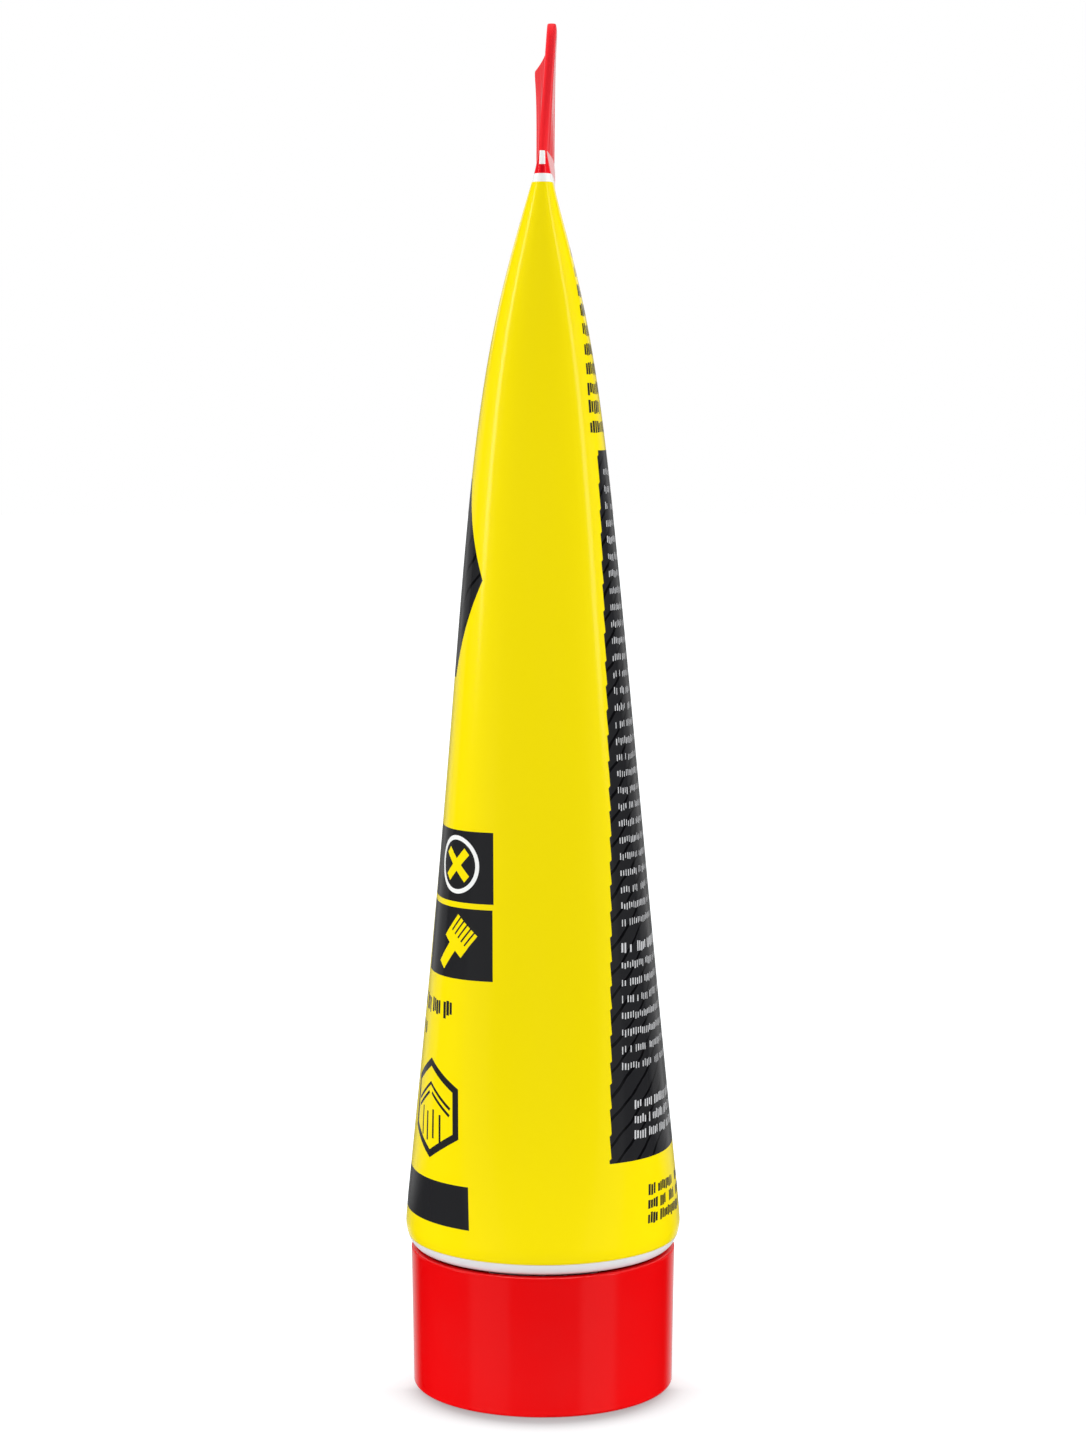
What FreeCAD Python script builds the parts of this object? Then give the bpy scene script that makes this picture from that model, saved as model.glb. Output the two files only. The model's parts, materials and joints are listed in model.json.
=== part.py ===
# Construction adhesive tube: a plastic squeeze tube that stands on its screw cap.
#
# Frame: origin at the centre of the cap's standing face, +Z up along the tube.
# The sleeve is pressed flat across X, so the welded fin at its top lies in the YZ plane.
# All sizes are in millimetres.
import FreeCAD, Part
import math
import os

# ---------------------------------------------------------------- sizes
# sleeve
SLEEVE_D = 40.0          # outer diameter where the sleeve is round
SLEEVE_WALL = 0.5
SLEEVE_LEN = 153.35      # from the sleeve's cut end to the crimp line
ROUND_LEN = 2.85         # stretch above the cut end that stays fully round
TAPER_EASE = 1.24        # above 1, the rest of the sleeve opens out faster towards its cut end
BULGE = 6.7              # half thickness gained quickly under the crimp
BULGE_REACH = 20.4       # distance over which that happens
BULGE_EASE = 1.29        # above 1, the gain starts gently at the crimp
FOLD_BLUNT = 1.15        # above 0, the folds are broad and the sides between them flat
FOLD_BLUNT_EASE = 12     # how soon that starts above the round end
FOLD_BLUNT_HALF = 5.0    # half thickness below which it fades out again towards the crimp
FIN_H = 16.6
FIN_T = 1.2              # two walls welded together
FIN_CORNER_R = 1.5
TRIM_PROUD = 0.03        # how far the shape that rounds the corners stays outside the fin
HOLE_R = 3.5             # round hole for a display peg
HOLE_EDGE = 4.4          # from the hole's rim to the fin's top edge

# gentle wave of the fin, in X
WAVE_MID = 1.14          # bow of the crimp line
WAVE_BOWS = 1.12         # half waves across the crimp line
WAVE_FADE = 3.9          # distance below the crimp over which the wave dies out
WAVE_TOP = 1.12          # offset of the top edge at the -Y fold
WAVE_TOP_RISE = 2.1      # offset gained from there on, per width of the fin
WAVE_TOP_TURN = 4.05     # offset lost with the square of the way to the +Y fold
WAVE_TOP_HOLD = 4.0      # above 0, the top edge's shape reaches less far down near the +Y fold

# slight bow of the whole tube, in X
LEAN = 0.34
LEAN_DROP = 39.8         # distance under the crimp where it is greatest
LEAN_SPREAD = 38.9       # distance from there over which it dies out

# cap
CAP_STEP = 0.8           # the cap's rim stands this far in from the sleeve's side
CAP_H = 20.25
CAP_DRAFT = 0.3          # the base is this much smaller in radius than the rim
CAP_WALL = 1.3
CAP_END = 1.6            # thickness of the end wall
CAP_RECESS = 0.5         # depth of the recess in the standing face
CAP_FOOT = 3.4           # width of the ring that the cap stands on, outer edge rounding included
CAP_EDGE_R = 0.4
CAP_RIM_R = 0.25
BARREL_WALL = 1.3
BARREL_LEAD = 1.0        # plain stretch of the barrel above its thread
RIB_COUNT = 6
RIB_T = 0.9
RIB_H = 7.0

# shoulder and neck
SHOULDER_T = 1.6
SHOULDER_ROUND_R = 2.2   # radial depth of the rounding of the sleeve's end
SHOULDER_ROUND_H = 3.8   # height of that rounding, if it were whole
SHOULDER_ROUND_SHARE = 0.96  # share of its height that the shoulder's underside leaves
RIM_H = 1.6              # height of the white rim that shows under the sleeve's cut end
UPSTAND_H = 2.7          # collar inside the sleeve, above the shoulder's floor
UPSTAND_T = 0.9
NECK_D = 16.0            # outside the neck, under its thread
OUTLET_D = 12.4

# thread
PITCH = 3.0
TURNS = 3.0
THREAD_DEPTH = 0.9       # ridge height on the neck and in the barrel
THREAD_ROOT_W = 1.15     # ridge width where it leaves the wall
THREAD_CREST_W = 0.55
THREAD_SINK = 0.3        # how far a ridge runs into the wall that carries it

# seal, liner and filling
SEAL_T = 0.2
SEAL_MARGIN = 0.4        # the seal stops this far inside the neck's edge
LINER_T = 1.5
HEADSPACE = 6.0          # unfilled length under the crimp

# clearances
RIM_GAP = 0.3            # cap rim to shoulder, closed
THREAD_GAP = 0.35        # ridge crest to the opposite wall
LINER_GAP = 0.3          # liner edge to the barrel's thread crests
CLOSED_GAP = 0.1         # seal to liner, closed
SEAM_GAP = 0.1           # shoulder's collar to the sleeve's inside
FILL_GAP = 0.15          # paste to the walls around it
WELD_HALF = 1.1          # half thickness at which the two walls start to meet inside

# ---------------------------------------------------------------- worked out from the sizes
SLEEVE_R = SLEEVE_D / 2
GIRTH = math.pi * SLEEVE_D
QUARTER = GIRTH / 4

FLOOR_Z = CAP_RECESS + CAP_END                   # top of the cap's end wall
SEAL_Z = FLOOR_Z + LINER_T + CLOSED_GAP          # outer face of the seal
NECK_Z = SEAL_Z + SEAL_T                         # the neck's open end
SHOULDER_Z = CAP_H + RIM_GAP                     # underside of the shoulder
CUT_Z = SHOULDER_Z + RIM_H                       # the sleeve's cut end
CRIMP_Z = CUT_Z + SLEEVE_LEN
TOP_Z = CRIMP_Z + FIN_H
HOLE_Z = TOP_Z - HOLE_EDGE - HOLE_R
LEAN_Z = CRIMP_Z - LEAN_DROP
ROUND_Z = SHOULDER_Z + SHOULDER_ROUND_H * SHOULDER_ROUND_SHARE   # the rounding ends here

NECK_R = NECK_D / 2
CREST_R = NECK_R + THREAD_DEPTH
BARREL_R = CREST_R + THREAD_GAP                  # the barrel's inner wall
THREAD_Z = NECK_Z + THREAD_ROOT_W                # middle of the neck thread's first turn
THREAD_LEN = PITCH * TURNS
BARREL_THREAD_Z = THREAD_Z - PITCH / 2           # half a pitch away, so the ridges mesh
BARREL_Z = BARREL_THREAD_Z + THREAD_LEN + THREAD_ROOT_W / 2 + BARREL_LEAD

# points and sections that carry the sleeve's curved faces
FOLD_STEPS = 12          # points along a quarter of the girth
FOLD_CROWDING = 2.2      # closer together towards the fold
ARC_STEPS = 40           # steps that add up the shape from one point to the next
SECTION_STEP = 4.75      # mean distance between the sections along the sleeve
SECTION_COUNT = round(SLEEVE_LEN / SECTION_STEP)
END_SECTIONS = 4         # steps down the rounding of the sleeve's end
FIN_SECTIONS = 8
EDGE_STEPS = 6           # straight steps that make the shoulder's own rounding


# ---------------------------------------------------------------- sleeve shape
def half_thickness(z):
    """Half of the sleeve's X extent at height z."""
    h = CRIMP_Z - z
    if h <= 0:
        return FIN_T / 2
    share = min(h / (CRIMP_Z - CUT_Z - ROUND_LEN), 1.0)
    taper = (SLEEVE_R - FIN_T / 2 - BULGE) * share ** TAPER_EASE
    swell = BULGE * (1 - math.exp(-(h / BULGE_REACH) ** BULGE_EASE))
    return min(FIN_T / 2 + taper + swell, SLEEVE_R)


def end_rounding(z):
    """Radius lost to the rounding of the sleeve's and shoulder's outer edge at height z."""
    depth = max(ROUND_Z - z, 0.0) / SHOULDER_ROUND_H
    return SHOULDER_ROUND_R * (1 - math.sqrt(1 - depth * depth))


def turn_angle(fraction, sharpness, bluntness):
    """Angle turned by the wall, from the fold (0) to the flat side (90 degrees)."""
    return math.pi / 2 * math.tanh((sharpness * fraction) ** bluntness) / math.tanh(sharpness ** bluntness)


def quarter_points(sharpness, bluntness):
    """(x, y, angle) along a quarter of the girth, from the fold at y = 0 to the flat side."""
    x = 0.0
    y = 0.0
    found = [(x, y, 0.0)]
    for step in range(FOLD_STEPS):
        begin = (step / FOLD_STEPS) ** FOLD_CROWDING
        end = ((step + 1) / FOLD_STEPS) ** FOLD_CROWDING
        length = (end - begin) * QUARTER / ARC_STEPS
        for i in range(ARC_STEPS):
            angle = turn_angle(begin + (end - begin) * (i + 0.5) / ARC_STEPS, sharpness, bluntness)
            x += math.cos(angle) * length
            y += math.sin(angle) * length
        found.append((x, y, turn_angle(end, sharpness, bluntness)))
    return found


def quarter_section(half):
    """Points from the -Y fold to the +X side of the section with this half thickness."""
    blunt_low = 1 - (half / SLEEVE_R) ** FOLD_BLUNT_EASE
    blunt_high = 1 - math.exp(-(half / FOLD_BLUNT_HALF) ** 2)
    bluntness = 1 + FOLD_BLUNT * blunt_low * blunt_high
    round_end = 0.01
    sharp_end = 400.0
    for _ in range(40):
        sharpness = math.sqrt(round_end * sharp_end)
        points = quarter_points(sharpness, bluntness)
        if points[-1][0] > half:
            round_end = sharpness
        else:
            sharp_end = sharpness
    middle_y = points[-1][1]
    return [(x, y - middle_y, angle) for x, y, angle in points]


def wave(y, z):
    """X offset of the sleeve's middle surface, which bows the crimp, the fin and the tube."""
    travelled = max((y / QUARTER + 1) / 2, 0.0)
    risen = min(max((z - CRIMP_Z) / FIN_H, 0.0), 1.0)
    along = risen ** (1 + WAVE_TOP_HOLD * travelled)
    crimp = WAVE_MID * math.sin(WAVE_BOWS * math.pi * travelled)
    top = WAVE_TOP + WAVE_TOP_RISE * travelled - WAVE_TOP_TURN * travelled ** 2
    depth = max(CRIMP_Z - z, 0.0) / WAVE_FADE
    wavy = ((1 - along) * crimp + along * top) * math.exp(-depth * depth)
    lean = LEAN * math.exp(-((z - LEAN_Z) / LEAN_SPREAD) ** 2)
    return wavy - lean


def section_wire(z, inset):
    """Closed outline of the sleeve at height z, moved inwards by inset."""
    quarter = quarter_section(half_thickness(z))
    shrink = inset + end_rounding(z)
    right = []
    for x, y, angle in quarter:
        right.append((x - shrink * math.sin(angle), y + shrink * math.cos(angle)))
    right += [(x, -y) for x, y in reversed(right[:-1])]
    left = [(-x, y) for x, y in reversed(right[1:-1])]
    points = [FreeCAD.Vector(x + wave(y, z), y, z) for x, y in right + left]
    curve = Part.BSplineCurve()
    curve.interpolate(Points=points, PeriodicFlag=True)
    return Part.Wire(curve.toShape())


def section_heights(low, high):
    """Heights of the sections from low to high, crowded towards the crimp and the round end."""
    found = [low, high]
    for i in range(SECTION_COUNT):
        share = (1 - math.cos(math.pi * i / SECTION_COUNT)) / 2
        found.append(ROUND_Z + (CRIMP_Z - ROUND_Z) * share)
    for i in range(1, END_SECTIONS):
        found.append(CUT_Z + (ROUND_Z - CUT_Z) * i / END_SECTIONS)
    for i in range(FIN_SECTIONS):
        found.append(CRIMP_Z + FIN_H * i / FIN_SECTIONS)
    return sorted(z for z in set(found) if low <= z <= high)


def sleeve_loft(low, high, inset):
    """Solid between two heights inside the sleeve's outer face, inset from it."""
    wires = [section_wire(z, inset) for z in section_heights(low, high)]
    return Part.makeLoft(wires, True, False)


def along_x(shape_2d):
    """Prism across the whole tube from a face in the YZ plane."""
    shape_2d.translate(FreeCAD.Vector(-SLEEVE_D, 0, 0))
    return shape_2d.extrude(FreeCAD.Vector(2 * SLEEVE_D, 0, 0))


def flat_outline():
    """Face in the YZ plane that trims the flat end: rounded top corners and the peg hole.

    It stays TRIM_PROUD outside the folds and the top edge, so that no faces coincide.
    """
    reach = FIN_CORNER_R + TRIM_PROUD
    inner = -quarter_section(FIN_T / 2)[0][1] - FIN_CORNER_R
    corner_z = TOP_Z - FIN_CORNER_R
    bend = reach * math.sqrt(0.5)
    low = CUT_Z - FIN_H
    right = [(inner + 2 * reach, low), (inner + 2 * reach, corner_z), (inner + reach, corner_z)]
    right += [(inner + bend, corner_z + bend), (inner, corner_z + reach)]
    points = [FreeCAD.Vector(0, y, z) for y, z in right]
    mirrored = [FreeCAD.Vector(0, -y, z) for y, z in reversed(right)]
    edges = [Part.LineSegment(points[0], points[1]), Part.LineSegment(points[1], points[2])]
    edges += [Part.Arc(*points[2:]), Part.LineSegment(points[4], mirrored[0]), Part.Arc(*mirrored[:3])]
    edges += [Part.LineSegment(mirrored[2], mirrored[3]), Part.LineSegment(mirrored[3], mirrored[4])]
    edges += [Part.LineSegment(mirrored[4], points[0])]
    hole = Part.makeCircle(HOLE_R, FreeCAD.Vector(0, 0, HOLE_Z), FreeCAD.Vector(1, 0, 0))
    outline = Part.Face(Part.Wire([e.toShape() for e in edges]))
    return outline.cut(Part.Face(Part.Wire(hole)))


def sleeve():
    """Sleeve from its cut end to the fin: one thin wall around the filling, flat above the crimp."""
    outside = sleeve_loft(CUT_Z, TOP_Z, 0.0).common(along_x(flat_outline()))
    cavity_top = CRIMP_Z
    while half_thickness(cavity_top) < WELD_HALF:
        cavity_top -= 0.1
    return outside.cut(sleeve_loft(CUT_Z, cavity_top, SLEEVE_WALL))


# ---------------------------------------------------------------- turned shapes
def turned(outline):
    """Solid of revolution about Z from a closed outline of (radius, z) points."""
    points = [FreeCAD.Vector(radius, 0, z) for radius, z in outline]
    wire = Part.makePolygon(points + points[:1])
    return Part.Face(wire).revolve(FreeCAD.Vector(0, 0, 0), FreeCAD.Vector(0, 0, 1), 360)


def circles_at(shape, z, radius=None):
    """Circular edges of a turned shape at height z, of one radius if it is given."""
    found = []
    for edge in shape.Edges:
        if isinstance(edge.Curve, Part.Circle) and abs(edge.Curve.Center.z - z) < 0.001:
            if radius is None or abs(edge.Curve.Radius - radius) < 0.001:
                found.append(edge)
    return found


def disc(radius, low, high):
    """Plain disc on the axis between two heights."""
    return Part.makeCylinder(radius, high - low, FreeCAD.Vector(0, 0, low))


def thread(wall_r, middle_z, outward):
    """Helical ridge on a wall: on its outside if outward is 1, on its inside if it is -1."""
    helix = Part.makeHelix(PITCH, THREAD_LEN, wall_r)
    sunk = wall_r - outward * THREAD_SINK
    crest = wall_r + outward * THREAD_DEPTH
    spread = (THREAD_ROOT_W - THREAD_CREST_W) / THREAD_DEPTH
    sunk_half = (THREAD_ROOT_W + spread * THREAD_SINK) / 2
    crest_half = THREAD_CREST_W / 2
    outline = [(sunk, -sunk_half), (crest, -crest_half), (crest, crest_half), (sunk, sunk_half)]
    points = [FreeCAD.Vector(radius, 0, z) for radius, z in outline]
    profile = Part.makePolygon(points + points[:1])
    ridge = Part.Wire(helix).makePipeShell([profile], True, True)
    ridge.translate(FreeCAD.Vector(0, 0, middle_z))
    return ridge


# ---------------------------------------------------------------- shoulder
def rounded_edge(low, high, inset):
    """(radius, z) points down the rounding of the tube's end, inset from its outer face."""
    heights = [high + (low - high) * i / EDGE_STEPS for i in range(EDGE_STEPS + 1)]
    return [(SLEEVE_R - inset - end_rounding(z), z) for z in heights]


def shoulder():
    """Moulded head: collar inside the sleeve, floor, white rim and threaded neck."""
    collar = SLEEVE_WALL + SEAM_GAP
    floor_z = SHOULDER_Z + SHOULDER_T
    top_z = CUT_Z + UPSTAND_H
    outline = rounded_edge(SHOULDER_Z, CUT_Z, 0.0)
    outline += [(NECK_R, SHOULDER_Z), (NECK_R, NECK_Z), (OUTLET_D / 2, NECK_Z), (OUTLET_D / 2, floor_z)]
    inner = SLEEVE_R - collar - UPSTAND_T
    outline += [(inner - end_rounding(CUT_Z), floor_z), (inner, top_z)]
    outline += [(SLEEVE_R - collar, top_z)] + rounded_edge(CUT_Z, ROUND_Z, collar)
    return turned(outline).fuse(thread(NECK_R, THREAD_Z, 1))


def outlet_seal():
    """Foil disc welded over the outlet."""
    return disc(NECK_R - SEAL_MARGIN, SEAL_Z, NECK_Z)


# ---------------------------------------------------------------- cap
def cap_liner():
    """Foam disc on the cap's floor, which the outlet closes against."""
    return disc(BARREL_R - THREAD_DEPTH - LINER_GAP, FLOOR_Z, FLOOR_Z + LINER_T)


def cap():
    """Screw cap: skirt, end wall with a recessed face, threaded barrel and ribs."""
    rim_r = SLEEVE_R - CAP_STEP
    base_r = rim_r - CAP_DRAFT
    foot_r = base_r - CAP_FOOT
    outline = [(0, CAP_RECESS), (foot_r, CAP_RECESS), (foot_r, 0), (base_r, 0), (rim_r, CAP_H)]
    outline += [(rim_r - CAP_WALL, CAP_H), (base_r - CAP_WALL, FLOOR_Z)]
    outline += [(BARREL_R + BARREL_WALL, FLOOR_Z), (BARREL_R + BARREL_WALL, BARREL_Z)]
    outline += [(BARREL_R, BARREL_Z), (BARREL_R, FLOOR_Z), (0, FLOOR_Z)]
    body = turned(outline)
    body = body.makeFillet(CAP_EDGE_R, circles_at(body, 0, base_r))
    body = body.makeFillet(CAP_RIM_R, circles_at(body, CAP_H))
    ribs = []
    for i in range(RIB_COUNT):
        inner = BARREL_R + BARREL_WALL / 2
        outer = base_r - CAP_WALL / 2
        rib = Part.makeBox(outer - inner, RIB_T, RIB_H, FreeCAD.Vector(inner, -RIB_T / 2, FLOOR_Z))
        rib.rotate(FreeCAD.Vector(0, 0, 0), FreeCAD.Vector(0, 0, 1), 360 * i / RIB_COUNT)
        ribs.append(rib)
    return body.fuse(ribs).fuse(thread(BARREL_R, BARREL_THREAD_Z, -1))


# ---------------------------------------------------------------- filling
def adhesive():
    """Paste that fills the sleeve up to the headspace, the shoulder and the neck."""
    floor_z = SHOULDER_Z + SHOULDER_T + FILL_GAP
    top_z = CUT_Z + UPSTAND_H + FILL_GAP
    inner = SLEEVE_R - SLEEVE_WALL - SEAM_GAP - UPSTAND_T - FILL_GAP
    column_r = OUTLET_D / 2 - FILL_GAP
    outline = [(0, NECK_Z), (column_r, NECK_Z), (column_r, floor_z)]
    outline += [(inner - end_rounding(CUT_Z), floor_z), (inner, top_z), (0, top_z)]
    upper = sleeve_loft(top_z, CRIMP_Z - HEADSPACE, SLEEVE_WALL + FILL_GAP)
    return upper.fuse(turned(outline))


PARTS = {
    "sleeve": sleeve,
    "shoulder": shoulder,
    "outlet_seal": outlet_seal,
    "cap_liner": cap_liner,
    "cap": cap,
    "adhesive": adhesive,
}

os.makedirs("parts", exist_ok=True)
for name, make in PARTS.items():
    shape = make()
    shape.exportStep("parts/" + name + ".step")
    print(name, shape.isValid(), len(shape.Solids), round(shape.Volume), shape.BoundBox)
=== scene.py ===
"""Looks of a construction adhesive tube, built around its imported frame.

The sleeve is modelled here as the film that it is made from: a flat printed sheet, rolled up,
pressed flat towards the fin and welded there. The cap, its liner, the head, the outlet seal and
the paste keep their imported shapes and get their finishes.

Sizes are in millimetres, and in metres for the camera, the lamps and finished meshes. The axes
are the frame's own: +Z up along the tube, which is pressed flat across X.
"""

from __future__ import annotations

import json
import logging
import math
from dataclasses import asdict, dataclass, fields
from enum import Enum
from functools import reduce
from typing import Any

import bpy
import numpy as np
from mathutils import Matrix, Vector

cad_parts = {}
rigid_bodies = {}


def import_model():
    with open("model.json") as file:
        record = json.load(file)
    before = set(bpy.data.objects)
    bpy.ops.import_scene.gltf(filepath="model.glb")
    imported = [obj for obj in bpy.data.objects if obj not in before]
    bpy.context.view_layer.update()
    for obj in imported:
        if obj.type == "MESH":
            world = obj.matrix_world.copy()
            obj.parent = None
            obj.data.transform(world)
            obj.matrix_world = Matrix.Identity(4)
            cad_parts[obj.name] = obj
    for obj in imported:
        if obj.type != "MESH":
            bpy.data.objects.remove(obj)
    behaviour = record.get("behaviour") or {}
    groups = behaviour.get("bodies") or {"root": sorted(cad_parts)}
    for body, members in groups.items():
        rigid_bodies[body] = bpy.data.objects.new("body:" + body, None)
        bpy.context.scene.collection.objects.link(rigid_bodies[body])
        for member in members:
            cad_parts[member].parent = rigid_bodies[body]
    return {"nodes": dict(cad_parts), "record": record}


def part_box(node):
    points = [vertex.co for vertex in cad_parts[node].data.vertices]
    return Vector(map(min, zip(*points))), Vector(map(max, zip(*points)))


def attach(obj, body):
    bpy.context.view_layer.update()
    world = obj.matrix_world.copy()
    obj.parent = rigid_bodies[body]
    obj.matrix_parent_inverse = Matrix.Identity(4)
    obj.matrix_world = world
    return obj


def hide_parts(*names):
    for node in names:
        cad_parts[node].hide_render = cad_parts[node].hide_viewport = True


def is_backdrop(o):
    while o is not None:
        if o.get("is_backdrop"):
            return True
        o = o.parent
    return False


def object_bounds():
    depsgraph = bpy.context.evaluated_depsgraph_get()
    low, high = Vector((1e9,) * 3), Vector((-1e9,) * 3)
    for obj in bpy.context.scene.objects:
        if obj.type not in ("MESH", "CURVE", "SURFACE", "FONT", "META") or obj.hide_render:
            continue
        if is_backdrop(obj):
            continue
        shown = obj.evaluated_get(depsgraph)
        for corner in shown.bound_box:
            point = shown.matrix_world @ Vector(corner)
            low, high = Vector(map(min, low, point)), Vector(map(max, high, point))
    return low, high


LOG = logging.getLogger("adhesive_tube")
MM = 0.001

Tree = bpy.types.NodeTree
Inputs = dict[int | str, Any]


class Ink(Enum):
    """Inks and bare films of the sleeve, and two reds for painted shade and highlight, as sRGB hex."""

    YELLOW = "FFE701"
    BLACK = "262628"
    STROKE = "0C0C0E"
    WHITE = "F8F8F6"
    PALE = "D2D2D4"
    RED = "F41420"
    SHADE_RED = "D80A1B"
    HIGHLIGHT_RED = "FF6A74"
    BARE = "F3DEDD"


# ---------------- tools
def linear(code: str) -> tuple[float, float, float, float]:
    """Turns six sRGB hex digits into linear red, green, blue and a full alpha."""
    shares = [int(code[i : i + 2], 16) / 255 for i in (0, 2, 4)]
    light = [s / 12.92 if s <= 0.04045 else ((s + 0.055) / 1.055) ** 2.4 for s in shares]
    return light[0], light[1], light[2], 1.0


def feed(tree: Tree, node: bpy.types.Node, inputs: Inputs) -> None:
    """Sets or links some of a node's inputs.

    Args:
        tree: Node tree that holds the node.
        node: The node.
        inputs: Per input, a value, a socket to link from, a node whose first output is linked,
            or a sum such as ("ADD", first, second), which gets nodes of its own.
    """
    for name, value in inputs.items():
        if isinstance(value, tuple) and isinstance(value[0], str):
            value = add_node(tree, "ShaderNodeMath", dict(enumerate(value[1:])), operation=value[0])
        if isinstance(value, bpy.types.Node):
            value = value.outputs[0]
        if isinstance(value, bpy.types.NodeSocket):
            tree.links.new(value, node.inputs[name])
        else:
            node.inputs[name].default_value = value


def add_node(tree: Tree, kind: str, inputs: Inputs | None = None, **settings: Any) -> bpy.types.Node:
    """Adds one node with its settings, values and links.

    Args:
        tree: Node tree that gets the node.
        kind: Blender's name for the node.
        inputs: Its inputs, as feed takes them.
        settings: The node's own settings.

    Returns:
        The new node.
    """
    node = tree.nodes.new(kind)
    for name, value in settings.items():
        setattr(node, name, value)
    feed(tree, node, inputs or {})
    return node


def new_group(name: str, kind: str, titles: tuple[str, ...]) -> tuple[Tree, Any]:
    """Starts a node group with one output called Mask.

    Args:
        name: Name of the group.
        kind: Blender's name for the kind of its inputs.
        titles: Names of its inputs.

    Returns:
        The group's tree, and its inputs as sockets to link from.
    """
    group = bpy.data.node_groups.new(name, "ShaderNodeTree")
    for title in titles:
        group.interface.new_socket(name=title, in_out="INPUT", socket_type=kind)
    group.interface.new_socket(name="Mask", in_out="OUTPUT", socket_type="NodeSocketFloat")
    return group, add_node(group, "NodeGroupInput").outputs


def select(*chosen: bpy.types.Object) -> None:
    """Selects these objects only, so that an operator acts on nothing else."""
    for thing in bpy.context.scene.objects:
        thing.select_set(thing in chosen)
    if chosen:
        bpy.context.view_layer.objects.active = chosen[0]


# ---------------- finishes
@dataclass(frozen=True, kw_only=True)
class Finish:
    """A material: what it is and how its surface was made."""

    name: str

    def build(self) -> bpy.types.Material:
        """Makes the material."""
        material = bpy.data.materials.new(self.name)
        material.use_nodes = True
        tree = material.node_tree
        feed(tree, tree.nodes["Principled BSDF"], self.surface(tree))
        return material

    def surface(self, tree: Tree) -> Inputs:
        """Adds the finish's nodes and returns the inputs of the main shader."""
        raise NotImplementedError


@dataclass(frozen=True, kw_only=True)
class PlainFinish(Finish):
    """A finish of one colour, with two close tones, a fine relief and a slightly uneven gloss.

    Attributes:
        colour: Main tone.
        other_tone: The tone that it drifts to.
        tone_size: Size of the patches of tone, if the finish has its own.
        tone_detail: How much finer detail they have.
        roughness: Mean roughness.
        unevenness: How much the roughness varies in all.
        relief: Height of the relief.
        relief_size: Size of its bumps.
        relief_detail: How much finer detail they have.
        relief_twist: How much they are drawn into folds.
        ior: Index of refraction.
        metallic: 1 for bare metal.
    """

    colour: str
    other_tone: str
    tone_size: float = 1.0
    tone_detail: float = 2.0
    roughness: float
    unevenness: float = 0.0
    relief: float
    relief_size: float
    relief_detail: float = 2.0
    relief_twist: float = 0.0
    ior: float = 1.5
    metallic: float = 0.0

    def patterns(self, tree: Tree, place: Any) -> tuple[Any, Any, Any]:
        """Adds the patterns of the finish.

        Args:
            tree: The material's node tree.
            place: Place on the piece, in metres.

        Returns:
            The patterns that spread the tones, the relief and the roughness.
        """
        patches = {"Vector": place, "Scale": 1 / (self.tone_size * MM), "Detail": self.tone_detail}
        bumps = {"Vector": place, "Scale": 1 / (self.relief_size * MM), "Detail": self.relief_detail}
        bumps["Distortion"] = self.relief_twist
        tone, relief = (add_node(tree, "ShaderNodeTexNoise", noise) for noise in (patches, bumps))
        return tone, relief, relief

    def surface(self, tree: Tree) -> Inputs:
        """Adds the finish's nodes and returns the inputs of the main shader."""
        place = add_node(tree, "ShaderNodeTexCoord").outputs["Object"]
        tone, bumps, uneven = self.patterns(tree, place)
        tones = {"Factor": tone, "A": linear(self.colour), "B": linear(self.other_tone)}
        tint = add_node(tree, "ShaderNodeMix", tones, data_type="RGBA").outputs["Result"]
        normal = add_node(tree, "ShaderNodeBump", {"Height": bumps, "Distance": self.relief * MM})
        surface = {"Base Color": tint, "Normal": normal, "IOR": self.ior, "Metallic": self.metallic}
        surface["Roughness"] = self.roughness
        if self.unevenness:
            lowest = self.roughness - self.unevenness / 2
            surface["Roughness"] = ("MULTIPLY_ADD", uneven, self.unevenness, lowest)
        return surface


@dataclass(frozen=True, kw_only=True)
class GlossyMoulding(PlainFinish):
    """Polypropylene moulded in a polished tool: clear gloss with a faint ripple and flow marks."""

    name: str = "polypropylene_red_moulded"
    colour: str = "EE0004"
    other_tone: str = "E60003"
    tone_size: float = 16.0
    roughness: float = 0.17
    unevenness: float = 0.06
    relief: float = 0.004
    relief_size: float = 7.0
    relief_detail: float = 1.0
    ior: float = 1.49


@dataclass(frozen=True, kw_only=True)
class SatinMoulding(PlainFinish):
    """High density polyethylene moulded in a blasted tool: waxy satin with a fine even grain."""

    name: str = "polyethylene_white_moulded"
    colour: str = "F2F2F3"
    other_tone: str = "E9E9EC"
    tone_size: float = 9.0
    roughness: float = 0.36
    unevenness: float = 0.12
    relief: float = 0.006
    relief_size: float = 0.35
    relief_detail: float = 3.0
    ior: float = 1.54


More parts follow.
